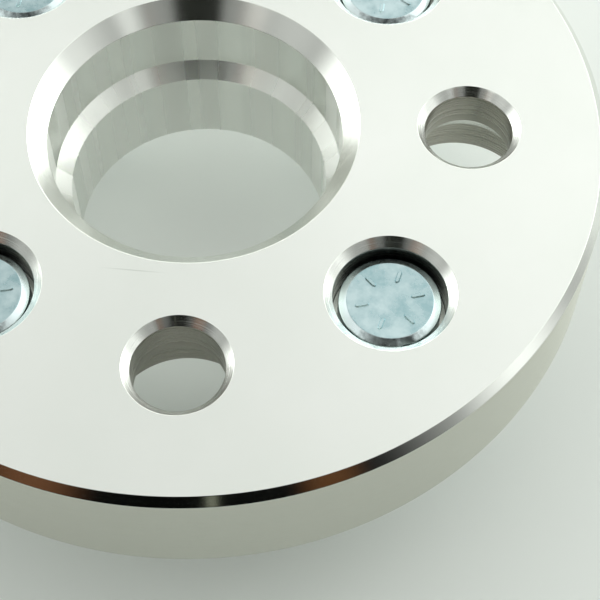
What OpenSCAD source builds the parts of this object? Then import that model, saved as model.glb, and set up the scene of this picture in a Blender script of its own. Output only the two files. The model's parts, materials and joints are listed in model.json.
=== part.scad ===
// Bolt-on wheel spacer: a turned aluminium disc that is nutted to the studs of a
// vehicle's hub, with steel studs of its own, pressed in between its holes, for the wheel.
// The origin is the centre of the hub face. +Z points out of that face, towards the hub,
// so the disc lies below the origin and stands on the tips of its studs.

/* [Disc] */
// Outside diameter of the disc
disc_d = 150; // [140:1:200]
// Thickness of the disc, from the hub face to the wheel face
disc_t = 25; // [20:1:50]
// Chamfer of the rim at the hub face
rim_chamfer_hub = 1.4; // [0.2:0.1:3]
// Chamfer of the rim at the wheel face
rim_chamfer_wheel = 2; // [0.2:0.1:3]

/* [Hub bore] */
// Diameter of the bore that centres the disc on the hub
hub_bore_d = 54.1; // [50:0.1:60]
// Depth of the hub bore, down to its conical step
hub_bore_depth = 14.8; // [8:0.1:17]
// Lead-in chamfer at the mouth of the hub bore
hub_bore_chamfer = 3.2; // [0.5:0.1:5]

/* [Wheel lip] */
// Diameter of the lip that centres the wheel
lip_d = 54; // [50:0.1:60]
// Height of the lip above the wheel face
lip_h = 10; // [4:0.5:15]
// Wall of the lip, which leaves the bore through it
lip_wall = 2.75; // [2.4:0.05:5]
// Lead-in chamfer outside the end of the lip
lip_lead = 1; // [0.2:0.1:1.1]
// Chamfer inside the end of the lip
lip_bore_chamfer = 1.2; // [0.2:0.1:1.3]

/* [Bolt circle] */
// Number of hub holes, and of studs half way between them
lug_count = 4; // [3:1:6]
// Diameter of the circle that the holes and the studs share
bolt_circle_d = 100; // [92:1:112]

/* [Hub holes] */
// Diameter of a hole that passes over one of the hub's studs
hub_hole_d = 16; // [13:0.5:18]
// Chamfer at the mouth of a hub hole
hub_hole_chamfer = 1.4; // [0.2:0.1:2.5]
// Depth of a hub hole, down to the seat of its nut
hub_hole_depth = 8.4; // [5:0.1:11]
// Diameter of the wide end of a nut's conical seat
nut_seat_d = 21; // [19:0.5:24]
// Full angle of that seat
nut_seat_angle = 60; // [60:30:90]
// Diameter of the pocket for a nut and its socket wrench
nut_pocket_d = 28; // [25:0.5:31]
// Chamfer at the mouth of a nut pocket
nut_pocket_chamfer = 1.5; // [0.2:0.1:2]

/* [Studs] */
// Diameter over the thread of a stud
stud_thread_d = 12; // [11.5:0.5:14]
// Length of the thread, which stands out of the wheel face
stud_reach = 27; // [20:1:45]
// Chamfer at the tip of a stud
stud_tip_chamfer = 1.2; // [0.3:0.1:2.5]
// Diameter of the plain shank between the serration and the thread
stud_neck_d = 11; // [10:0.1:11.4]
// Diameter of a stud's head
stud_head_d = 17.8; // [16:0.1:22]
// Thickness of the head
stud_head_h = 4.8; // [3:0.1:7]
// Depth of the head's top below the hub face
stud_recess = 2.7; // [0:0.1:4]
// How far the rounding of the head's edge reaches in across the top
head_round_in = 1.2; // [0.2:0.1:2]
// How far the rounding of the head's edge reaches down the side
head_round_down = 1.7; // [0.2:0.1:2.5]

/* [Stud seats] */
// Diameter over the serration that is pressed into the disc
serration_d = 13.2; // [12.6:0.1:15]
// Length of the serration below the head
serration_l = 11; // [5:0.5:12]
// Depth of the serration's grooves
serration_depth = 0.35; // [0.1:0.05:0.6]
// Number of ridges round the serration
serration_count = 36; // [20:1:48]
// Room between the head and the wall of its pocket
head_gap = 1; // [0.2:0.1:2]
// Chamfer at the mouth of the pocket round a head
head_pocket_chamfer = 1.5; // [0.2:0.1:2.5]
// Chamfer where a stud leaves the wheel face
stud_exit_chamfer = 0.8; // [0.2:0.1:1.5]

/* [Hidden] */
disc_r = disc_d / 2;
hub_bore_r = hub_bore_d / 2;
lip_r = lip_d / 2;
lip_bore_r = lip_r - lip_wall;
lip_end = disc_t + lip_h;
// The step between the two bores is a 45 degree cone
bore_step_h = abs(hub_bore_r - lip_bore_r);

hub_hole_r = hub_hole_d / 2;
nut_seat_r = nut_seat_d / 2;
nut_seat_h = (nut_seat_r - hub_hole_r) / tan(nut_seat_angle / 2);
nut_pocket_r = nut_pocket_d / 2;
nut_floor = hub_hole_depth + nut_seat_h;

stud_thread_r = stud_thread_d / 2;
stud_neck_r = stud_neck_d / 2;
stud_head_r = stud_head_d / 2;
stud_tip = disc_t + stud_reach;
serration_r = serration_d / 2;
serration_end = stud_recess + stud_head_h + serration_l;
head_pocket_r = stud_head_r + head_gap;
head_seat = stud_recess + stud_head_h;
head_round_steps = 8;

// How far a cut runs past the face that it opens in
past = 1;
$fn = 128;

function stud_name(i) = str("wheel_stud_", i);

// The disc, its bores and its lip, as half a section with radius across and height up
module body_section() {
    polygon([
        [hub_bore_r + hub_bore_chamfer, 0],
        [disc_r - rim_chamfer_hub, 0],
        [disc_r, -rim_chamfer_hub],
        [disc_r, -disc_t + rim_chamfer_wheel],
        [disc_r - rim_chamfer_wheel, -disc_t],
        [lip_r, -disc_t],
        [lip_r, -lip_end + lip_lead],
        [lip_r - lip_lead, -lip_end],
        [lip_bore_r + lip_bore_chamfer, -lip_end],
        [lip_bore_r, -lip_end + lip_bore_chamfer],
        [lip_bore_r, -hub_bore_depth - bore_step_h],
        [hub_bore_r, -hub_bore_depth],
        [hub_bore_r, -hub_bore_chamfer]
    ]);
}

// A hub hole, with the seat and the pocket of its nut on the wheel side
module hub_hole_section() {
    polygon([
        [0, past],
        [hub_hole_r + hub_hole_chamfer + past, past],
        [hub_hole_r, -hub_hole_chamfer],
        [hub_hole_r, -hub_hole_depth],
        [nut_seat_r, -nut_floor],
        [nut_pocket_r, -nut_floor],
        [nut_pocket_r, -disc_t + nut_pocket_chamfer],
        [nut_pocket_r + nut_pocket_chamfer + past, -disc_t - past],
        [0, -disc_t - past]
    ]);
}

// The stepped hole that a stud is pressed into from the hub side
module stud_hole_section() {
    polygon([
        [0, past],
        [head_pocket_r + head_pocket_chamfer + past, past],
        [head_pocket_r, -head_pocket_chamfer],
        [head_pocket_r, -head_seat],
        [serration_r, -head_seat],
        [serration_r, -disc_t + stud_exit_chamfer],
        [serration_r + stud_exit_chamfer + past, -disc_t - past],
        [0, -disc_t - past]
    ]);
}

// A stud's head, neck and thread; the thread is drawn at its outside diameter
module stud_section() {
    run_out = stud_thread_r - stud_neck_r;
    polygon(concat(
        [[0, -stud_recess]],
        [for (i = [0:head_round_steps])
            let (turn = 90 * i / head_round_steps)
            [stud_head_r - head_round_in * (1 - sin(turn)),
             -stud_recess - head_round_down * (1 - cos(turn))]],
        [
            [stud_head_r, -head_seat],
            [stud_neck_r, -head_seat],
            [stud_neck_r, -disc_t + run_out],
            [stud_thread_r, -disc_t],
            [stud_thread_r, -stud_tip + stud_tip_chamfer],
            [stud_thread_r - stud_tip_chamfer, -stud_tip],
            [0, -stud_tip]
        ]
    ));
}

// The ridges that bite into the wall of the stud's hole, their crests just meeting it
module serration() {
    half_ridge = 180 / serration_count;
    ring = [for (i = [0:serration_count - 1], crest = [0, 1])
        let (r = serration_r - serration_depth * crest, turn = (2 * i + crest) * half_ridge)
        r * [cos(turn), sin(turn)]];
    translate([0, 0, -serration_end])
        linear_extrude(serration_l)
            polygon(ring);
}

// Puts what follows at place number i of the bolt circle, where whole numbers are hub holes
module on_bolt_circle(i) {
    rotate(360 / lug_count * i)
        translate([bolt_circle_d / 2, 0, 0])
            children();
}

module spacer_body() {
    color("#d3d7d0")
        difference() {
            rotate_extrude() body_section();
            for (i = [1:lug_count]) {
                on_bolt_circle(i) rotate_extrude() hub_hole_section();
                on_bolt_circle(i - 0.5) rotate_extrude() stud_hole_section();
            }
        }
}

module wheel_stud(i) {
    color("#bfc5cc")
        on_bolt_circle(i - 0.5)
            union() {
                rotate_extrude() stud_section();
                serration();
            }
}

spacer_body();
for (i = [1:lug_count]) wheel_stud(i);
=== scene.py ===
# A bolt-on wheel spacer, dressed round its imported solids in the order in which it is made: the turned
# disc, the studs that are pressed into it, then the table, the light tent and the camera.
import json
import math

import bpy
import bmesh
from mathutils import Matrix, Vector


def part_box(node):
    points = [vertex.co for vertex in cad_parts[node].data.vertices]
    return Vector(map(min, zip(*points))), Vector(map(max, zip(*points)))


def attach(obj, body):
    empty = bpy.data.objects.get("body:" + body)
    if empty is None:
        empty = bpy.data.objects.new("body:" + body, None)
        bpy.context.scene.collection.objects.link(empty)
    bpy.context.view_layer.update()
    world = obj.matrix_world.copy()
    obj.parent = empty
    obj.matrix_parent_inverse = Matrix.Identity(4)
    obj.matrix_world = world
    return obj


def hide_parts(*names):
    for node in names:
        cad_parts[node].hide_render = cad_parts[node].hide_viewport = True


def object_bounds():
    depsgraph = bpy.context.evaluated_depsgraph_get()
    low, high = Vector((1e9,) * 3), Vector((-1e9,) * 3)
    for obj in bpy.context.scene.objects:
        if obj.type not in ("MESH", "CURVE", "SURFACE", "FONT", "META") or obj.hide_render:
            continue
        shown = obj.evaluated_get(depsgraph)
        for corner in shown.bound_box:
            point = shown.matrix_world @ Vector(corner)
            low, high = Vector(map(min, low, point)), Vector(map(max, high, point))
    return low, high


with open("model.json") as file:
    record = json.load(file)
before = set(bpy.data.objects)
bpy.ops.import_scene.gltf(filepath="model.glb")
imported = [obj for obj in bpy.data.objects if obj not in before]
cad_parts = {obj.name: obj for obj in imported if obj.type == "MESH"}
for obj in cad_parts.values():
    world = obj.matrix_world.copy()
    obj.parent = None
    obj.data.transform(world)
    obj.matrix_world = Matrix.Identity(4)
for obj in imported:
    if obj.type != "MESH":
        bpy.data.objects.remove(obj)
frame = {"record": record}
cad_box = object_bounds()

# The disc: one piece of aluminium bar, faced and bored on a lathe from both sides, then drilled and
# counterbored for the studs. A fine feed leaves its faces and walls satin. The chamfers are cut last
# with a sharp tool, so they mirror what stands round them.
MM = 0.001
mounts = {m["name"]: m for m in frame["record"]["mounts"]}
body_low, body_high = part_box("spacer_body")
disc_r = body_high.x / MM
wheel_face = mounts["wheel_face"]["pos_m"][2] / MM
rim_chamfer_hub = 1.4
rim_chamfer_wheel = 2.0
hub_bore_r = mounts["hub_bore"]["dims"]["r_mm"]
hub_bore_end = -14.8
hub_bore_chamfer = 3.2
lip_r = mounts["wheel_lip"]["dims"]["r_mm"]
lip_end = body_low.z / MM
lip_lead = 1.0
lip_bore_r = mounts["lip_bore"]["dims"]["r_mm"]
lip_bore_chamfer = 1.2
bolt_circle_r = mounts["hub_holes"]["dims"]["pcd_mm"] / 2
lugs = mounts["hub_holes"]["dims"]["count"]
hub_hole_r = mounts["hub_holes"]["dims"]["hole_r_mm"]
hub_hole_chamfer = 1.4
hub_hole_end = -8.4
nut_seat_r = 10.5
nut_seat_half_angle = math.radians(30)
nut_floor = hub_hole_end - (nut_seat_r - hub_hole_r) / math.tan(nut_seat_half_angle)
nut_pocket_r = mounts["nut_pockets"]["dims"]["hole_r_mm"]
nut_pocket_chamfer = 1.5
head_pocket_r = 9.9
head_pocket_chamfer = 1.5
head_seat = -7.5
stud_hole_r = 6.6
stud_exit_chamfer = 0.8
edge_break = 0.12
land = 0.5  # how far each wall's mesh reaches out on to the flat face that it opens in


def broken_edges(corners, radius):
    """A section line with every corner but its two ends rounded, each arc held by a point on either side."""
    arc_steps, hold = 4, 0.08
    line = [Vector(corners[0])]
    for before, corner, after in zip(corners, corners[1:], corners[2:]):
        corner = Vector(corner)
        back, ahead = (Vector(before) - corner).normalized(), (Vector(after) - corner).normalized()
        half = back.angle(ahead) / 2
        reach = radius / math.tan(half)
        centre = corner + (back + ahead).normalized() * radius / math.sin(half)
        start, stop = corner + back * reach - centre, corner + ahead * reach - centre
        line.append(corner + back * (reach + hold))
        line += [
            centre + start.slerp(stop, i / arc_steps).normalized() * radius for i in range(arc_steps + 1)]
        line.append(corner + ahead * (reach + hold))
    return line + [Vector(corners[-1])]


rim_section = [
    (disc_r - rim_chamfer_hub - land, 0),
    (disc_r - rim_chamfer_hub, 0),
    (disc_r, -rim_chamfer_hub),
    (disc_r, wheel_face + rim_chamfer_wheel),
    (disc_r - rim_chamfer_wheel, wheel_face),
    (disc_r - rim_chamfer_wheel - land, wheel_face),
]
bore_section = [
    (lip_r + land, wheel_face),
    (lip_r, wheel_face),
    (lip_r, lip_end + lip_lead),
    (lip_r - lip_lead, lip_end),
    (lip_bore_r + lip_bore_chamfer, lip_end),
    (lip_bore_r, lip_end + lip_bore_chamfer),
    (lip_bore_r, hub_bore_end - (hub_bore_r - lip_bore_r)),
    (hub_bore_r, hub_bore_end),
    (hub_bore_r, -hub_bore_chamfer),
    (hub_bore_r + hub_bore_chamfer, 0),
    (hub_bore_r + hub_bore_chamfer + land, 0),
]
hub_hole_section = [
    (nut_pocket_r + nut_pocket_chamfer + land, wheel_face),
    (nut_pocket_r + nut_pocket_chamfer, wheel_face),
    (nut_pocket_r, wheel_face + nut_pocket_chamfer),
    (nut_pocket_r, nut_floor),
    (nut_seat_r, nut_floor),
    (hub_hole_r, hub_hole_end),
    (hub_hole_r, -hub_hole_chamfer),
    (hub_hole_r + hub_hole_chamfer, 0),
    (hub_hole_r + hub_hole_chamfer + land, 0),
]
stud_hole_section = [
    (stud_hole_r + stud_exit_chamfer + land, wheel_face),
    (stud_hole_r + stud_exit_chamfer, wheel_face),
    (stud_hole_r, wheel_face + stud_exit_chamfer),
    (stud_hole_r, head_seat),
    (head_pocket_r, head_seat),
    (head_pocket_r, -head_pocket_chamfer),
    (head_pocket_r + head_pocket_chamfer, 0),
    (head_pocket_r + head_pocket_chamfer + land, 0),
]


def section_points(name, lines):
    """Section lines as one mesh of points in the XZ plane, each point numbered with its line."""
    made = bpy.data.meshes.new(name)
    made.from_pydata([(r * MM, 0, z * MM) for line in lines for r, z in line], [], [])
    numbers = made.attributes.new("line", "INT", "POINT")
    numbers.data.foreach_set("value", [i for i, line in enumerate(lines) for _ in line])
    return made


def add(tree, kind, feeds=None, **settings):
    """Adds one node. Its settings are options, and its feeds are inputs by name or number: each a value, or a
    node or an output to link."""
    made = tree.nodes.new(kind)
    for option, value in settings.items():
        setattr(made, option, value)
    for socket, value in (feeds or {}).items():
        if isinstance(value, bpy.types.Node):
            value = next(output for output in value.outputs if output.enabled)
        if isinstance(value, bpy.types.NodeSocket):
            tree.links.new(value, made.inputs[socket])
        else:
            made.inputs[socket].default_value = value
    return made


def new_tree(name, sizes):
    """An empty geometry tree with a named input for each size, its inputs and its output node."""
    tree = bpy.data.node_groups.new(name, "GeometryNodeTree")
    tree.interface.new_socket("Geometry", in_out="INPUT", socket_type="NodeSocketGeometry")
    tree.interface.new_socket("Geometry", in_out="OUTPUT", socket_type="NodeSocketGeometry")
    for size, kind in sizes.items():
        tree.interface.new_socket(size, in_out="INPUT", socket_type="NodeSocket" + kind)
    return tree, tree.nodes.new("NodeGroupInput").outputs, tree.nodes.new("NodeGroupOutput")


def grown(name, base, tree, sizes):
    """The plain mesh that a tree grows from a base mesh, as an object at the origin with outward faces."""
    piece = bpy.data.objects.new(name, base)
    bpy.context.scene.collection.objects.link(piece)
    growth = piece.modifiers.new("growth", "NODES")
    growth.node_group = tree
    for item in tree.interface.items_tree:
        if item.in_out == "INPUT" and item.name in sizes:
            growth[item.identifier] = sizes[item.name]
    bpy.context.view_layer.update()
    shaped = bpy.data.meshes.new_from_object(piece.evaluated_get(bpy.context.evaluated_depsgraph_get()))
    piece.modifiers.remove(growth)
    piece.data = shaped
    shaped.name = name
    shell = bmesh.new()
    shell.from_mesh(shaped)
    bmesh.ops.recalc_face_normals(shell, faces=shell.faces)
    shell.to_mesh(shaped)
    shell.free()
    return piece


def srgb(code):
    """A #rrggbb colour as linear red, green, blue and alpha."""
    parts = [int(code[i:i + 2], 16) / 255 for i in (1, 3, 5)]
    return [c / 12.92 if c <= 0.04045 else ((c + 0.055) / 1.055) ** 2.4 for c in parts] + [1.0]


def bare_metal(name, sockets):
    """A new metal with those shader sockets: the material, its tree, its shader and the Object coordinates
    to dress it by."""
    made = bpy.data.materials.new(name)
    made.use_nodes = True
    tree = made.node_tree
    tree.nodes.clear()
    shader = add(tree, "ShaderNodeBsdfPrincipled", {"Metallic": 1.0, **sockets})
    add(tree, "ShaderNodeOutputMaterial", {"Surface": shader})
    return made, tree, shader, add(tree, "ShaderNodeTexCoord").outputs["Object"]


# Satin faced aluminium: pale and soft, with the faintest rings where the tool's feed shows, a haze from
# handling, and one hair-thin scratch beside the bore. Its fine tooth shines in two ways, keen on the crests
# and dull in the hollows. The feed and the tooth are drawn coarser than they are, to show at all.
faced, tree, shader, coords = bare_metal(
    "satin_faced_aluminium", {"Anisotropic": 0.25, "Anisotropic Rotation": 0.25})
feed_mm, feed_deep_mm, haze_mm, tooth_mm = 0.4, 0.02, 22, 0.08
crest_roughness, hollow_roughness = 0.29, 0.78
flat = add(tree, "ShaderNodeVectorMath", {0: coords, 1: (1, 1, 0)}, operation="MULTIPLY")
radius = add(tree, "ShaderNodeVectorMath", {0: flat}, operation="LENGTH")
rings = add(tree, "ShaderNodeTexNoise", {"W": radius, "Scale": 1 / (feed_mm * MM), "Detail": 2.0},
            noise_dimensions="1D")
haze = add(tree, "ShaderNodeTexNoise", {"Vector": coords, "Scale": 1 / (haze_mm * MM), "Detail": 3.0})
tone = add(tree, "ShaderNodeMix", {0: haze, 6: srgb("#e1e4df"), 7: srgb("#e8e9e6")}, data_type="RGBA")
scratch_mid, scratch_half, scratch_turn = (-8.6, -31.9, 0), (6.2, 0.16, 1), -4.5
scratch = add(tree, "ShaderNodeMapping", {
    "Vector": coords, "Location": [v * MM for v in scratch_mid], "Scale": [v * MM for v in scratch_half],
    "Rotation": (0, 0, math.radians(scratch_turn))}, vector_type="TEXTURE")
scratch = add(tree, "ShaderNodeVectorMath", {0: scratch}, operation="LENGTH")
scratch = add(tree, "ShaderNodeMapRange", {0: scratch, 1: 0.2, 2: 1.0, 3: 0.5, 4: 0.0})
tone = add(tree, "ShaderNodeMix", {0: scratch, 6: tone.outputs[2], 7: srgb("#b9beb6")}, data_type="RGBA")
tooth = add(tree, "ShaderNodeTexNoise", {"Vector": coords, "Scale": 1 / (tooth_mm * MM), "Detail": 0.0})
dull = add(tree, "ShaderNodeMapRange", {0: tooth, 1: 0.38, 2: 0.58, 3: crest_roughness, 4: hollow_roughness})
bump = add(tree, "ShaderNodeBump", {"Height": rings, "Strength": 0.04, "Distance": feed_deep_mm * MM})
tangent = add(tree, "ShaderNodeTangent", direction_type="RADIAL", axis="Z")
for socket, source in (
        ("Base Color", tone.outputs[2]), ("Roughness", dull.outputs[0]),
        ("Normal", bump.outputs[0]), ("Tangent", tangent.outputs[0])):
    tree.links.new(source, shader.inputs[socket])

noise_low, noise_high = 0.3, 0.7  # nearly all of a noise's values lie between these
ring_deep_mm = 0.03


def cut_aluminium(name, colour, ring_mm, smoothest, dullest, relief, grain, band_deg=0):
    """Aluminium cut round an upright axis: the pitch of its rings, its range of roughness, the rings' relief
    and how far its shine is drawn out across them. With bands, which only suit the disc's own axis, the
    roughness goes in upright bands that wide and not with the rings. The lathe below leaves each wall's way
    round in ring_way."""
    metal, tree, shader, coords = bare_metal(name, {
        "Base Color": srgb(colour), "Anisotropic": grain, "Anisotropic Rotation": 0.25})
    at = add(tree, "ShaderNodeSeparateXYZ", {0: coords}).outputs
    rings = add(tree, "ShaderNodeTexNoise", {"W": at["Z"], "Scale": 1 / (ring_mm * MM), "Detail": 2.0},
                noise_dimensions="1D")
    worn = rings
    if band_deg:
        round_about = add(tree, "ShaderNodeMath", {0: at["Y"], 1: at["X"]}, operation="ARCTAN2")
        worn = add(tree, "ShaderNodeTexNoise", {
            "W": round_about, "Scale": 1 / math.radians(band_deg), "Detail": 0.0}, noise_dimensions="1D")
    dull = add(tree, "ShaderNodeMapRange", {0: worn, 1: noise_low, 2: noise_high, 3: smoothest, 4: dullest})
    bump = add(tree, "ShaderNodeBump", {"Height": rings, "Strength": relief, "Distance": ring_deep_mm * MM})
    way = add(tree, "ShaderNodeAttribute", attribute_name="ring_way").outputs["Vector"]
    for socket, source in (("Roughness", dull.outputs[0]), ("Normal", bump.outputs[0]), ("Tangent", way)):
        tree.links.new(source, shader.inputs[socket])
    return metal


# The turned rim: satin, with light drawn up and down across the fine rings round it.
turned_rim = cut_aluminium("satin_turned_aluminium", "#cfd0c6", ring_mm=0.02,
                           smoothest=0.24, dullest=0.38, relief=0.02, grain=0.95)
# The bored walls: the same, but the long boring bar trembled and left faint upright bands.
bored_wall = cut_aluminium("satin_bored_aluminium", "#eff1ec", ring_mm=0.02,
                           smoothest=0.20, dullest=0.33, relief=0.02, grain=1.0, band_deg=14)
# The rim's chamfer: a mirror, cut with a keen edge at full speed.
bright_rim = cut_aluminium("bright_cut_aluminium", "#e8eae5", ring_mm=0.09,
                           smoothest=0.08, dullest=0.13, relief=0.06, grain=0.5)
# The mouth of the bore: nearly as bright.
bright_mouth = cut_aluminium("fine_cut_aluminium", "#eef0eb", ring_mm=0.02,
                             smoothest=0.09, dullest=0.21, relief=0.03, grain=0.95)
# The conical step deep in the bore: cut at a slower speed, so hazy across its lines.
hazy_step = cut_aluminium("hazy_cut_aluminium", "#f4f6f1", ring_mm=0.02,
                          smoothest=0.19, dullest=0.33, relief=0.03, grain=1.0, band_deg=14)
# The countersinks of the holes: a drill press leaves coarser lines that break up what they mirror.
countersunk = cut_aluminium("countersunk_aluminium", "#eff1ec", ring_mm=0.22,
                            smoothest=0.07, dullest=0.25, relief=0.3, grain=1.0)
# Drilled walls: plain rings from a quick feed.
drilled = cut_aluminium("drilled_aluminium", "#aeaba2", ring_mm=0.55,
                        smoothest=0.13, dullest=0.48, relief=1.0, grain=0.6)

# The pocket round a stud's head: the same wall, with painted shade that darkens it down the gap to near
# black.
# The painted shade is full where the wall faces the front, and slight elsewhere.
bare_wall, gap_shade_colour = "#c9cdc6", "#343a37"
shaded_pocket_wall = cut_aluminium("counterbored_aluminium_painted_shade", bare_wall, ring_mm=0.30,
                      smoothest=0.14, dullest=0.28, relief=0.15, grain=0.5)
tree = shaded_pocket_wall.node_tree
unshaded_above, full_shade_below = -1.4, -4.6
least_shade_facing, full_shade_facing, least_shade_share = 0.1, -0.7, 0.12  # the wall's facing along Y, and the painted shade's least share
place = add(tree, "ShaderNodeTexCoord").outputs["Object"]
height = add(tree, "ShaderNodeSeparateXYZ", {0: place}).outputs["Z"]
# Painted shade: darker with depth down the gap round the head
pocket_shade = add(tree, "ShaderNodeMapRange", {0: height, 1: unshaded_above * MM, 2: full_shade_below * MM, 3: 0.0, 4: 1.0},
           interpolation_type="SMOOTHSTEP")
normal = add(tree, "ShaderNodeNewGeometry").outputs["Normal"]
backward = add(tree, "ShaderNodeSeparateXYZ", {0: normal}).outputs["Y"]
# Painted shade: full where the wall faces the front, slight where it faces the sides and back
front_facing_shade = add(tree, "ShaderNodeMapRange", {0: backward, 1: least_shade_facing, 2: full_shade_facing, 3: least_shade_share, 4: 1.0},
               interpolation_type="SMOOTHSTEP")
pocket_shade = add(tree, "ShaderNodeMath", {0: pocket_shade, 1: front_facing_shade}, operation="MULTIPLY")
tone = add(tree, "ShaderNodeMix", {0: pocket_shade, 6: srgb(bare_wall), 7: srgb(gap_shade_colour)}, data_type="RGBA")
tree.links.new(tone.outputs[2], tree.nodes["Principled BSDF"].inputs["Base Color"])

# A lathe: it turns the points of one section line round the Z axis into a wall
weld = 0.001 * MM  # points nearer than this become one
lathe, given, done = new_tree("lathe", {"Steps": "Int"})
points = add(lathe, "GeometryNodeAttributeDomainSize", {0: given["Geometry"]})
around = add(lathe, "FunctionNodeIntegerMath", {0: given["Steps"], 1: 1}, operation="ADD")
grid = add(lathe, "GeometryNodeMeshGrid", {"Vertices X": points, "Vertices Y": around})
index = add(lathe, "GeometryNodeInputIndex")
along = add(lathe, "FunctionNodeIntegerMath", {0: index, 1: around}, operation="DIVIDE_FLOOR")
step = add(lathe, "FunctionNodeIntegerMath", {0: index, 1: around}, operation="MODULO")
share = add(lathe, "ShaderNodeMath", {0: step, 1: given["Steps"]}, operation="DIVIDE")
angle = add(lathe, "ShaderNodeMath", {0: share, 1: math.tau}, operation="MULTIPLY")
profile = add(lathe, "GeometryNodeSampleIndex", {
    0: given["Geometry"], 1: add(lathe, "GeometryNodeInputPosition"), 2: along}, data_type="FLOAT_VECTOR")
turned = add(lathe, "ShaderNodeVectorRotate", {"Vector": profile, "Angle": angle}, rotation_type="Z_AXIS")
wall = add(lathe, "GeometryNodeSetPosition", {0: grid, "Position": turned})
way = add(lathe, "ShaderNodeVectorRotate", {"Vector": (0, 1, 0), "Angle": angle}, rotation_type="Z_AXIS")
wall = add(lathe, "GeometryNodeStoreNamedAttribute", {0: wall, "Name": "ring_way", "Value": way},
           data_type="FLOAT_VECTOR")
wall = add(lathe, "GeometryNodeMergeByDistance", {0: wall, "Distance": weld})
lathe.links.new(wall.outputs[0], done.inputs[0])

# The disc's tree: a turned wall for each section line, those of the holes repeated round the bolt
# circle, and the two flat faces filled in between the open ends of the walls
slope_mid, slope_spread = 0.66, 0.3  # the upright share of the normal on a chamfer or a cone
level_share = 0.97  # the same on a face that lies level
mouth_depth = 4.0  # a slope above this is the mouth of its hole
near_half = 0.499  # of the thickness: what lies further than this from the middle is an outer face
disc_tree, given, done = new_tree("turned_disc", {
    "Bolt circle radius": "Float", "Lugs": "Int", "Thickness": "Float",
    "Disc steps": "Int", "Hole steps": "Int"})
line_number = add(disc_tree, "GeometryNodeInputNamedAttribute", {"Name": "line"}, data_type="INT")
circle = add(disc_tree, "GeometryNodeMeshCircle", {
    "Vertices": given["Lugs"], "Radius": given["Bolt circle radius"]})
half_lug = add(disc_tree, "ShaderNodeMath", {0: math.pi, 1: given["Lugs"]}, operation="DIVIDE")
half_lug_turn = add(disc_tree, "ShaderNodeCombineXYZ", {2: half_lug})
between = add(disc_tree, "GeometryNodeTransform", {0: circle, "Rotation": half_lug_turn})
walls = add(disc_tree, "GeometryNodeJoinGeometry")
tilt = add(disc_tree, "ShaderNodeSeparateXYZ", {0: add(disc_tree, "GeometryNodeInputNormal")}).outputs["Z"]
tilt = add(disc_tree, "ShaderNodeMath", {0: tilt}, operation="ABSOLUTE")
sloping = add(disc_tree, "FunctionNodeCompare", {0: tilt, 1: slope_mid, "Epsilon": slope_spread},
              operation="EQUAL")
level = add(disc_tree, "ShaderNodeSeparateXYZ", {0: add(disc_tree, "GeometryNodeInputPosition")}).outputs["Z"]
at_hub = add(disc_tree, "FunctionNodeCompare", {0: level, 1: -mouth_depth * MM}, operation="GREATER_THAN")
mouthing = add(disc_tree, "FunctionNodeBooleanMath", {0: sloping, 1: at_hub}, operation="AND")
for number, (steps, spots, wall_metal, slope_metal, mouth_metal) in enumerate((
        ("Disc steps", None, turned_rim, bright_rim, bright_rim),
        ("Disc steps", None, bored_wall, hazy_step, bright_mouth),
        ("Hole steps", circle, drilled, countersunk, countersunk),
        ("Hole steps", between, shaded_pocket_wall, countersunk, countersunk))):
    chosen = add(disc_tree, "FunctionNodeCompare", {2: line_number, 3: number},
                 data_type="INT", operation="EQUAL")
    line = add(disc_tree, "GeometryNodeSeparateGeometry", {0: given["Geometry"], 1: chosen})
    wall = add(disc_tree, "GeometryNodeGroup", node_tree=lathe)
    disc_tree.links.new(line.outputs[0], wall.inputs["Geometry"])
    disc_tree.links.new(given[steps], wall.inputs["Steps"])
    wall = add(disc_tree, "GeometryNodeSetMaterial", {0: wall, "Material": wall_metal})
    wall = add(disc_tree, "GeometryNodeSetMaterial", {0: wall, 1: sloping, "Material": slope_metal})
    wall = add(disc_tree, "GeometryNodeSetMaterial", {0: wall, 1: mouthing, "Material": mouth_metal})
    if spots:
        wall = add(disc_tree, "GeometryNodeInstanceOnPoints", {0: spots, "Instance": wall})
        wall = add(disc_tree, "GeometryNodeRealizeInstances", {0: wall})
    disc_tree.links.new(wall.outputs[0], walls.inputs[0])
edge_faces = add(disc_tree, "GeometryNodeInputMeshEdgeNeighbors")
open_ends = add(disc_tree, "FunctionNodeCompare", {2: edge_faces, 3: 1}, data_type="INT", operation="EQUAL")
middle = add(disc_tree, "ShaderNodeMath", {0: given["Thickness"], 1: -0.5}, operation="MULTIPLY")
whole = add(disc_tree, "GeometryNodeJoinGeometry", {0: walls})
for side, share in (("GREATER_THAN", 0.0), ("LESS_THAN", -1.0)):
    here = add(disc_tree, "FunctionNodeCompare", {0: level, 1: middle}, operation=side)
    ends = add(disc_tree, "FunctionNodeBooleanMath", {0: open_ends, 1: here}, operation="AND")
    loops = add(disc_tree, "GeometryNodeMeshToCurve", {0: walls, 1: ends})
    face = add(disc_tree, "GeometryNodeFillCurve", {0: loops})
    depth = add(disc_tree, "ShaderNodeMath", {0: given["Thickness"], 1: share}, operation="MULTIPLY")
    face = add(disc_tree, "GeometryNodeTransform",
               {0: face, "Translation": add(disc_tree, "ShaderNodeCombineXYZ", {2: depth})})
    disc_tree.links.new(face.outputs[0], whole.inputs[0])
shut = add(disc_tree, "GeometryNodeMergeByDistance", {0: whole, "Distance": weld})
level_face = add(disc_tree, "FunctionNodeCompare", {0: tilt, 1: level_share}, operation="GREATER_THAN")
outer = add(disc_tree, "ShaderNodeMath", {0: level, 1: middle}, operation="SUBTRACT")
outer = add(disc_tree, "ShaderNodeMath", {0: outer}, operation="ABSOLUTE")
half_thick = add(disc_tree, "ShaderNodeMath", {0: given["Thickness"], 1: near_half}, operation="MULTIPLY")
outer = add(disc_tree, "FunctionNodeCompare", {0: outer, 1: half_thick}, operation="GREATER_THAN")
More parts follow.
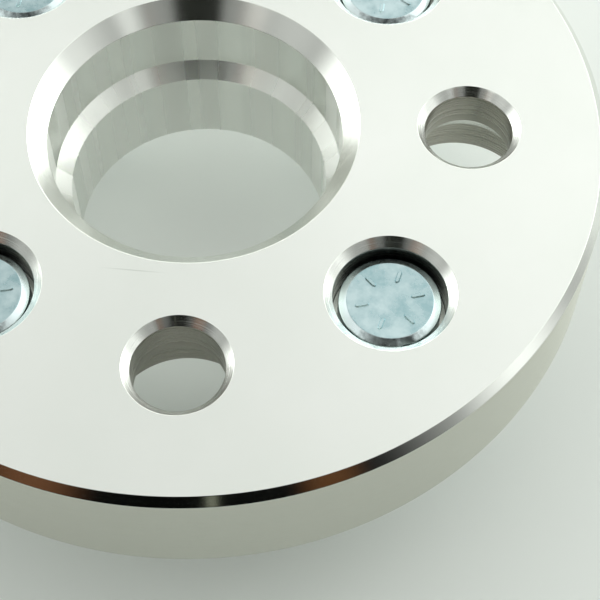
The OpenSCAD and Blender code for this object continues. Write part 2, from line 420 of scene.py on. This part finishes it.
outer = add(disc_tree, "FunctionNodeBooleanMath", {0: outer, 1: level_face}, operation="AND")
shut = add(disc_tree, "GeometryNodeSetMaterial", {0: shut, 1: outer, "Material": faced})
shut = add(disc_tree, "GeometryNodeSetShadeSmooth", {0: shut, 2: True})
shut = add(disc_tree, "GeometryNodeSetShadeSmooth", {0: shut, 1: level_face, 2: False})
disc_tree.links.new(shut.outputs[0], done.inputs[0])

disc_sections = (rim_section, bore_section, hub_hole_section, stud_hole_section)
disc = grown(
    "spacer_disc",
    section_points("disc_sections", [broken_edges(line, edge_break) for line in disc_sections]),
    disc_tree,
    {"Bolt circle radius": bolt_circle_r * MM, "Lugs": lugs, "Thickness": -wheel_face * MM,
     "Disc steps": 288, "Hole steps": 120})
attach(disc, "root")
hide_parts("spacer_body")

# The wheel studs: forged steel with a round head, a serration that is pressed into the disc and a rolled
# M12 x 1.5 thread, zinc plated and passivated to a cold blue-white.
stud_low, stud_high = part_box("wheel_stud_1")
head_top = stud_high.z / MM
stud_tip = stud_low.z / MM
head_r = 8.9
head_flat_r = 7
head_bevel_in, head_bevel_down, head_corner_r = 1.4, 0.7, 0.35
head_foot_round = 0.3
serration_r, serration_depth, serration_ridges = 6.6, 0.35, 36
serration_end, serration_lead, serration_inset = -18.5, 0.6, 0.1
neck_r, neck_slope = 5.5, 0.8
thread_lead = 0.6
thread_r = mounts["wheel_studs"]["dims"]["stud_r_mm"]
thread_pitch = 1.5
thread_depth = 0.6134 * thread_pitch
thread_run_in = 2.0
rows_per_turn = 16
tip_chamfer, tip_flat_r = 1.2, 2.4
dash_count, dash_from, dash_to, dash_w, dash_h = 6, 3.5, 6.3, 1.2, 0.26

# Its section, from the middle of the head to the tip, with a small slope wherever one part meets the next
head_edge = broken_edges([
    (head_flat_r, head_top), (head_r - head_bevel_in, head_top), (head_r, head_top - head_bevel_down),
    (head_r, head_seat + head_foot_round)], head_corner_r)
thread_rows = math.ceil((wheel_face - stud_tip) * rows_per_turn / thread_pitch)
thread_line = []
for i in range(thread_rows + 1):
    z = wheel_face + (stud_tip - wheel_face) * i / thread_rows
    thread_line.append((min(thread_r, thread_r - tip_chamfer + z - stud_tip), z))
stud_section = [
    (0, head_top), (2.5, head_top), (5, head_top), *head_edge,
    (head_r - 0.1, head_seat + 0.05), (head_r - head_foot_round, head_seat),
    (serration_r, head_seat), (serration_r, head_seat - 0.3), (serration_r, serration_end + serration_lead),
    (serration_r - 0.2, serration_end), (neck_r, serration_end - neck_slope),
    (neck_r, wheel_face + thread_lead), (neck_r + 0.2, wheel_face + thread_lead / 2),
    *thread_line, (tip_flat_r, stud_tip), (0, stud_tip)]

# Blue-passivated zinc: a pale cold grey with clouds where the plating is thicker, over the forging's skin.
# The bevel round the head is painted lighter, a painted highlight, and painted darker where it faces the
# front and the back, a painted shade. Below the head's edge, inside the disc, the stud is painted near black:
# painted shade.
zinc, tree, shader, coords = bare_metal("blue_passivated_zinc", {})
cloud_mm, skin_mm, skin_deep_mm, shade_noise_mm = 4.0, 0.6, 0.05, 0.9
smoothest_plating, dullest_plating = 0.22, 0.36
clouds = add(tree, "ShaderNodeTexNoise", {
    "Vector": coords, "Scale": 1 / (cloud_mm * MM), "Detail": 5.0, "Roughness": 0.6})
skin = add(tree, "ShaderNodeTexNoise", {"Vector": coords, "Scale": 1 / (skin_mm * MM), "Detail": 3.0})
patchy = add(tree, "ShaderNodeMapRange", {0: clouds, 1: 0.35, 2: 0.62, 3: 0.0, 4: 1.0})
tone = add(tree, "ShaderNodeMix", {0: patchy, 6: srgb("#9ab7bc"), 7: srgb("#c3d6d9")}, data_type="RGBA")
normal = add(tree, "ShaderNodeNewGeometry").outputs["Normal"]
normal = add(tree, "ShaderNodeSeparateXYZ", {0: normal}).outputs
flat_top, bevel_top, bevel_foot = 0.98, 0.92, 0.6  # upright shares of the normal
most_highlight = 0.85
# Painted highlight: the head's bevel is made lighter, chosen by how upright its normal is
bevel_highlight = add(tree, "ShaderNodeMapRange", {0: normal["Z"], 1: flat_top, 2: bevel_top, 3: 0.0, 4: most_highlight},
             interpolation_type="SMOOTHSTEP")
on_bevel = add(tree, "ShaderNodeMath", {0: normal["Z"], 1: bevel_foot}, operation="GREATER_THAN")
bevel_highlight = add(tree, "ShaderNodeMath", {0: bevel_highlight, 1: on_bevel}, operation="MULTIPLY")
tone = add(tree, "ShaderNodeMix", {0: bevel_highlight, 6: tone.outputs[2], 7: srgb("#e2edef")}, data_type="RGBA")
height = add(tree, "ShaderNodeSeparateXYZ", {0: coords}).outputs["Z"]
shade_noise = add(tree, "ShaderNodeTexNoise", {"Vector": coords, "Scale": 1 / (shade_noise_mm * MM), "Detail": 2.0})
# Painted shade: below the head's edge the stud darkens to near black, with a ragged edge, inside the disc
shade_top, shade_full, shade_end, shade_ragged = -4.2, -5.6, -24.0, 1.2
ragged = add(tree, "ShaderNodeMath", {0: shade_noise, 1: shade_ragged * MM, 2: height}, operation="MULTIPLY_ADD")
stud_gap_shade = add(tree, "ShaderNodeMapRange", {0: ragged, 1: shade_top * MM, 2: shade_full * MM, 3: 0.0, 4: 1.0})
in_disc = add(tree, "ShaderNodeMath", {0: height, 1: shade_end * MM}, operation="GREATER_THAN")
stud_gap_shade = add(tree, "ShaderNodeMath", {0: stud_gap_shade, 1: in_disc}, operation="MULTIPLY")
# Painted shade: the bevel is darkened where it faces the front or the back
front_back_shade_from, front_back_shade_full, front_back_shade_ragged, most_front_back_shade = 0.14, 0.34, 0.35, 0.8
front_back_shade = add(tree, "ShaderNodeMath", {0: normal["Y"]}, operation="ABSOLUTE")
front_back_shade = add(tree, "ShaderNodeMath", {0: shade_noise, 1: -front_back_shade_ragged, 2: front_back_shade}, operation="MULTIPLY_ADD")
front_back_shade = add(tree, "ShaderNodeMapRange", {0: front_back_shade, 1: front_back_shade_from, 2: front_back_shade_full, 3: 0.0, 4: most_front_back_shade})
front_back_shade = add(tree, "ShaderNodeMath", {0: front_back_shade, 1: on_bevel}, operation="MULTIPLY")
stud_gap_shade = add(tree, "ShaderNodeMath", {0: stud_gap_shade, 1: front_back_shade}, operation="MAXIMUM")
# The painted shade's colour, for the gap below the head and the bevel's front and back
tone = add(tree, "ShaderNodeMix", {0: stud_gap_shade, 6: tone.outputs[2], 7: srgb("#242b2d")}, data_type="RGBA")
dull = add(tree, "ShaderNodeMapRange", {
    0: clouds, 1: noise_low, 2: noise_high, 3: smoothest_plating, 4: dullest_plating})
bump = add(tree, "ShaderNodeBump", {"Height": skin, "Strength": 0.15, "Distance": skin_deep_mm * MM})
for socket, source in (
        ("Base Color", tone.outputs[2]), ("Roughness", dull.outputs[0]), ("Normal", bump.outputs[0])):
    tree.links.new(source, shader.inputs[socket])

# The stud's tree: its section turned, the serration and the thread cut into it, and short raised dashes
# set round its head, as a forging die leaves them
stud_tree, given, done = new_tree("wheel_stud", {
    "Steps": "Int", "Place": "Vector", "Turn": "Float", "Thread top": "Float", "Thread pitch": "Float",
    "Thread depth": "Float", "Thread run in": "Float", "Thread radius": "Float", "Serration top": "Float",
    "Serration end": "Float", "Serration depth": "Float", "Ridges": "Int", "Head top": "Float",
    "Dashes": "Int", "Dash radius": "Float", "Dash length": "Float", "Dash width": "Float",
    "Dash height": "Float", "Nick at": "Vector", "Nick size": "Float", "Nick depth": "Float"})
shape = add(stud_tree, "GeometryNodeGroup", node_tree=lathe)
stud_tree.links.new(given["Geometry"], shape.inputs["Geometry"])
stud_tree.links.new(given["Steps"], shape.inputs["Steps"])
position = add(stud_tree, "GeometryNodeInputPosition")
xyz = add(stud_tree, "ShaderNodeSeparateXYZ", {0: position}).outputs
across = add(stud_tree, "ShaderNodeVectorMath", {0: position, 1: (1, 1, 0)}, operation="MULTIPLY")
radius = add(stud_tree, "ShaderNodeVectorMath", {0: across}, operation="LENGTH")
outward = add(stud_tree, "ShaderNodeVectorMath", {0: across}, operation="NORMALIZE")
angle = add(stud_tree, "ShaderNodeMath", {0: xyz["Y"], 1: xyz["X"]}, operation="ARCTAN2")

# Serration: the wall dips between its ridges
wave = add(stud_tree, "ShaderNodeMath", {0: angle, 1: given["Ridges"]}, operation="MULTIPLY")
wave = add(stud_tree, "ShaderNodeMath", {0: wave}, operation="COSINE")
dip = add(stud_tree, "ShaderNodeMapRange", {0: wave, 1: -1.0, 2: 1.0, 3: given["Serration depth"], 4: 0.0})
dip = add(stud_tree, "ShaderNodeMath", {0: dip, 1: -1.0}, operation="MULTIPLY")
inward = add(stud_tree, "ShaderNodeVectorMath", {0: outward, "Scale": dip}, operation="SCALE")
below = add(stud_tree, "FunctionNodeCompare", {0: xyz["Z"], 1: given["Serration top"]},
            operation="LESS_THAN")
above = add(stud_tree, "FunctionNodeCompare", {0: xyz["Z"], 1: given["Serration end"]},
            operation="GREATER_THAN")
ridged = add(stud_tree, "FunctionNodeBooleanMath", {0: below, 1: above}, operation="AND")
shape = add(stud_tree, "GeometryNodeSetPosition", {0: shape, 1: ridged, "Offset": inward})

# Thread: a right-handed helix with flat crests and roots, their widths given as shares of the pitch
crest_share, root_share = 1 / 8, 1 / 4
climb = add(stud_tree, "ShaderNodeMath", {0: xyz["Z"], 1: given["Thread pitch"]}, operation="DIVIDE")
turns = add(stud_tree, "ShaderNodeMath", {0: angle, 1: math.tau}, operation="DIVIDE")
phase = add(stud_tree, "ShaderNodeMath", {0: climb, 1: turns}, operation="SUBTRACT")
flank = add(stud_tree, "ShaderNodeMath", {0: phase, 1: 0.5}, operation="PINGPONG")
cut = add(stud_tree, "ShaderNodeMapRange", {
    0: flank, 1: root_share / 2, 2: 0.5 - crest_share / 2, 3: 1.0, 4: 0.0})
sunk = add(stud_tree, "ShaderNodeMath", {0: given["Thread top"], 1: xyz["Z"]}, operation="SUBTRACT")
run_in = add(
    stud_tree, "ShaderNodeMapRange",
    {0: sunk, 1: 0.0, 2: given["Thread run in"], 3: 0.0, 4: given["Thread depth"]},
    interpolation_type="SMOOTHSTEP")
cut = add(stud_tree, "ShaderNodeMath", {0: cut, 1: run_in}, operation="MULTIPLY")
floor_r = add(stud_tree, "ShaderNodeMath", {0: given["Thread radius"], 1: cut}, operation="SUBTRACT")
cut_r = add(stud_tree, "ShaderNodeMath", {0: radius, 1: floor_r}, operation="MINIMUM")
cut_xy = add(stud_tree, "ShaderNodeVectorMath", {0: outward, "Scale": cut_r}, operation="SCALE")
cut_z = add(stud_tree, "ShaderNodeCombineXYZ", {2: xyz["Z"]})
cut_at = add(stud_tree, "ShaderNodeVectorMath", {0: cut_xy, 1: cut_z}, operation="ADD")
threaded = add(stud_tree, "FunctionNodeCompare", {0: sunk, 1: 0.0}, operation="GREATER_THAN")
shape = add(stud_tree, "GeometryNodeSetPosition", {0: shape, 1: threaded, "Position": cut_at})

# Nick: a dent knocked into the edge of the head, inwards and down alike
inward_share = 0.7
away = add(stud_tree, "ShaderNodeVectorMath", {0: position, 1: given["Nick at"]}, operation="DISTANCE")
dent = add(
    stud_tree, "ShaderNodeMapRange",
    {0: away, 1: 0.0, 2: given["Nick size"], 3: given["Nick depth"], 4: 0.0},
    interpolation_type="SMOOTHSTEP")
push = add(stud_tree, "ShaderNodeVectorMath", {0: outward, 1: (-inward_share, -inward_share, 0)},
           operation="MULTIPLY")
push = add(stud_tree, "ShaderNodeVectorMath", {0: push, 1: (0, 0, -inward_share)}, operation="ADD")
push = add(stud_tree, "ShaderNodeVectorMath", {0: push, "Scale": dent}, operation="SCALE")
shape = add(stud_tree, "GeometryNodeSetPosition", {0: shape, "Offset": push})
shape = add(stud_tree, "GeometryNodeSetShadeSmooth", {0: shape, 2: True})

# Dash: a bar with round ends and sloping sides, shut underneath, sunk a little into the head
end_round = 0.49  # of its width
top_length, top_width = 0.8, 0.42  # of its foot
outline = add(stud_tree, "GeometryNodeCurvePrimitiveQuadrilateral", {
    "Width": given["Dash length"], "Height": given["Dash width"]})
bend_r = add(stud_tree, "ShaderNodeMath", {0: given["Dash width"], 1: end_round}, operation="MULTIPLY")
outline = add(stud_tree, "GeometryNodeFilletCurve", {0: outline, "Count": 5, "Radius": bend_r}, mode="POLY")
foot = add(stud_tree, "GeometryNodeFillCurve", {0: outline}, mode="NGONS")
raised = add(stud_tree, "ShaderNodeMath", {0: given["Dash height"], 1: 2.0}, operation="MULTIPLY")
bar = add(stud_tree, "GeometryNodeExtrudeMesh", {0: foot, "Offset Scale": raised})
bar_top = bar
for axis, narrowed in (((1, 0, 0), top_length), ((0, 1, 0), top_width)):
    bar_top = add(stud_tree, "GeometryNodeScaleElements", {
        0: bar_top, 1: bar.outputs["Top"], "Scale": narrowed, "Axis": axis}, scale_mode="SINGLE_AXIS")
under = add(stud_tree, "GeometryNodeFlipFaces", {0: foot})
bar = add(stud_tree, "GeometryNodeJoinGeometry", {0: bar_top})
stud_tree.links.new(under.outputs[0], bar.inputs[0])
bar = add(stud_tree, "GeometryNodeMergeByDistance", {0: bar, "Distance": weld})
dash_spots = add(stud_tree, "GeometryNodeMeshCircle", {
    "Vertices": given["Dashes"], "Radius": given["Dash radius"]})
dash_turn = add(stud_tree, "ShaderNodeCombineXYZ", {2: angle})
bars = add(stud_tree, "GeometryNodeInstanceOnPoints", {0: dash_spots, "Instance": bar, "Rotation": dash_turn})
foot_z = add(stud_tree, "ShaderNodeMath", {0: given["Head top"], 1: given["Dash height"]},
             operation="SUBTRACT")
foot_at = add(stud_tree, "ShaderNodeCombineXYZ", {2: foot_z})
bars = add(stud_tree, "GeometryNodeTransform", {0: bars, "Translation": foot_at})
shape = add(stud_tree, "GeometryNodeJoinGeometry", {0: shape})
stud_tree.links.new(bars.outputs[0], shape.inputs[0])
pressed_turn = add(stud_tree, "ShaderNodeCombineXYZ", {2: given["Turn"]})
shape = add(stud_tree, "GeometryNodeTransform", {
    0: shape, "Translation": given["Place"], "Rotation": pressed_turn})
shape = add(stud_tree, "GeometryNodeRealizeInstances", {0: shape})
shape = add(stud_tree, "GeometryNodeSetMaterial", {0: shape, "Material": zinc})
stud_tree.links.new(shape.outputs[0], done.inputs[0])

stud_turns = {1: 20, 2: -35, 3: 70, 4: 12}  # degrees, as each one was pressed in
nicked = {4: (-72, 0.55)}  # where round the head in degrees, and how deep
nick_size, nick_drop = 1.3, 0.8
thread_start = wheel_face + 0.01
for number in range(1, lugs + 1):
    low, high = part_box(f"wheel_stud_{number}")
    turn = math.radians(stud_turns[number])
    nick_angle, nick_depth = nicked.get(number, (0, 0.0))
    nick = math.radians(nick_angle) - turn
    stud = grown(
        f"wheel_stud_piece_{number}",
        section_points(f"stud_section_{number}", [stud_section]),
        stud_tree,
        {"Steps": 2 * serration_ridges, "Turn": turn,
         "Place": ((low.x + high.x) / 2, (low.y + high.y) / 2, 0.0),
         "Thread top": thread_start * MM, "Thread pitch": thread_pitch * MM, "Thread radius": thread_r * MM,
         "Thread depth": thread_depth * MM, "Thread run in": thread_run_in * MM,
         "Serration top": (head_seat - serration_inset) * MM,
         "Serration end": (serration_end + serration_inset) * MM,
         "Serration depth": serration_depth * MM, "Ridges": serration_ridges,
         "Head top": head_top * MM, "Dashes": dash_count, "Dash radius": (dash_from + dash_to) / 2 * MM,
         "Dash length": (dash_to - dash_from) * MM, "Dash width": dash_w * MM, "Dash height": dash_h * MM,
         "Nick at": (head_r * math.cos(nick) * MM, head_r * math.sin(nick) * MM, (head_top - nick_drop) * MM),
         "Nick size": nick_size * MM, "Nick depth": nick_depth * MM})
    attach(stud, "root")
    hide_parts(f"wheel_stud_{number}")

# The table: a plain top of pale matt laminate, a hair below the tips of the studs that stand on it. It is
# clear when it is seen from below, so that the underside of the spacer can be looked at.
table_half, below_tips = 30.0, 0.05 * MM
table_z = cad_box[0][2] - below_tips
table_mesh = bpy.data.meshes.new("table")
table_mesh.from_pydata(
    [(x * table_half, y * table_half, table_z) for x, y in ((-1, -1), (1, -1), (1, 1), (-1, 1))],
    [], [(0, 1, 2, 3)])
table = bpy.data.objects.new("table", table_mesh)
bpy.context.scene.collection.objects.link(table)
table_paint = bpy.data.materials.new("pale_laminate")
table_paint.use_nodes = True
tree = table_paint.node_tree
tree.nodes.clear()
matt = add(tree, "ShaderNodeBsdfPrincipled", {
    "Base Color": srgb("#f1f5f1"), "Roughness": 0.8, "Specular IOR Level": 0.1})
clear = add(tree, "ShaderNodeBsdfTransparent")
from_below = add(tree, "ShaderNodeNewGeometry").outputs["Backfacing"]
sheet = add(tree, "ShaderNodeMixShader", {0: from_below, 1: matt, 2: clear})
add(tree, "ShaderNodeOutputMaterial", {"Surface": sheet})
table_mesh.materials.append(table_paint)

# The light tent: white cloth round the disc, lit from behind and from both sides. Its ceiling is dim towards
# the front, and low down it is open there: the room is dark, with some warm brown in it and one far lamp.
scene = bpy.context.scene
tent = bpy.data.worlds.new("light_tent")
scene.world = tent
tent.use_nodes = True
tree = tent.node_tree
tree.nodes.clear()
look = add(tree, "ShaderNodeSeparateXYZ", {0: add(tree, "ShaderNodeTexCoord").outputs["Generated"]})
front = add(tree, "ShaderNodeMath", {0: look.outputs["Y"], 1: -1.0}, operation="MULTIPLY")
sideways = add(tree, "ShaderNodeMath", {0: look.outputs["X"], 1: front}, operation="ARCTAN2")
upwards = add(tree, "ShaderNodeMath", {0: look.outputs["Z"]}, operation="ARCSINE")
bearing = add(tree, "ShaderNodeCombineXYZ", {0: sideways, 1: upwards})
half_turn = (math.pi,) * 3
cloth_level, lamp_white = 0.48, "#fcfffc"
colour = [c * cloth_level for c in srgb("#f8fbf7")]
# Each place has its middle and half its width and height, in degrees round from the front and up, the share
# of it that isn't soft, its colour and its strength. A lamp adds to the cloth, and the rest covers it.
for mid, half, soft, tint, strength, blend in (
        ((165, 62), (80, 30), 0.1, lamp_white, 0.72, "ADD"),
        ((98, 52), (50, 34), 0.0, lamp_white, 1.1, "ADD"),
        ((-80, 54), (50, 32), 0.0, lamp_white, 0.75, "ADD"),
        ((172, 10), (70, 34), 0.1, lamp_white, 3.9, "ADD"),
        ((120, 23), (36, 30), 0.0, lamp_white, 2.6, "ADD"),
        ((140, 44), (30, 20), 0.0, lamp_white, 1.0, "ADD"),
        ((-135, 40), (28, 18), 0.0, lamp_white, 0.9, "ADD"),
        ((80, 15), (24, 16), 0.0, lamp_white, 0.95, "ADD"),
        ((46, 45), (15, 13), 0.0, lamp_white, 0.8, "ADD"),
        ((-43, 45), (15, 13), 0.0, lamp_white, 0.8, "ADD"),
        ((-117, 23), (36, 30), 0.0, lamp_white, 2.4, "ADD"),
        ((-120, 3), (28, 14), 0.0, lamp_white, 2.6, "ADD"),
        ((-3, 64), (70, 34), 0.2, "#3a3c38", 1.0, "MIX"),
        ((-3, 10), (71, 30), 0.7, "#060706", 1.0, "MIX"),
        ((-3, 42), (22, 14), 0.55, "#1e201c", 1.0, "MIX"),
        ((-37, 24), (17, 16), 0.2, "#6e4a32", 1.0, "MIX"),
        ((30, 25), (10, 16), 0.2, "#5d3d24", 1.0, "MIX"),
        ((3.6, 24), (1.6, 5), 0.3, "#8d907f", 1.0, "MIX")):
    mid_angles = [math.radians(a) for a in (*mid, 0)]
    half_angles = [math.radians(a) for a in (*half, 1)]
    off = add(tree, "ShaderNodeVectorMath", {0: bearing, 1: mid_angles}, operation="SUBTRACT")
    off = add(tree, "ShaderNodeVectorMath", {0: off, 1: half_turn, 2: [-a for a in half_turn]},
              operation="WRAP")
    off = add(tree, "ShaderNodeVectorMath", {0: off, 1: half_angles}, operation="DIVIDE")
    off = add(tree, "ShaderNodeVectorMath", {0: off}, operation="LENGTH")
    patch = add(tree, "ShaderNodeMapRange", {0: off, 1: soft, 2: 1.0, 3: 1.0, 4: 0.0},
                interpolation_type="SMOOTHSTEP")
    lit = [c * strength for c in srgb(tint)]
    colour = add(tree, "ShaderNodeMix", {0: patch, 6: colour, 7: lit},
                 data_type="RGBA", blend_type=blend).outputs[2]
cloth_light = add(tree, "ShaderNodeBackground", {"Color": colour})
add(tree, "ShaderNodeOutputWorld", {"Surface": cloth_light})

# The camera: above and in front of the disc, at the photograph's viewing angle. Its place, its lens and its
# slight roll were fitted to the circles of the disc.
photo_px = 600
focal_px = 1509.5
aim = Vector((20.0, -37.25, 0.0)) * MM
azimuth, elevation, roll = (math.radians(a) for a in (0.92, 59.12, 0.23))
distance = 254.99 * MM
lens = bpy.data.cameras.new("camera")
lens.sensor_width = 36.0
lens.lens = lens.sensor_width * focal_px / photo_px
lens.clip_start = 0.01
camera = bpy.data.objects.new("camera", lens)
scene.collection.objects.link(camera)
back = Vector((
    math.sin(azimuth) * math.cos(elevation), -math.cos(azimuth) * math.cos(elevation), math.sin(elevation)))
level_right = Vector((0, 0, 1)).cross(back).normalized()
level_up = back.cross(level_right)
right = level_right * math.cos(roll) + level_up * math.sin(roll)
up = back.cross(right)
camera.matrix_world = Matrix.LocRotScale(aim + back * distance, Matrix((right, up, back)).transposed(), None)
scene.camera = camera
scene.view_settings.view_transform = "Standard"
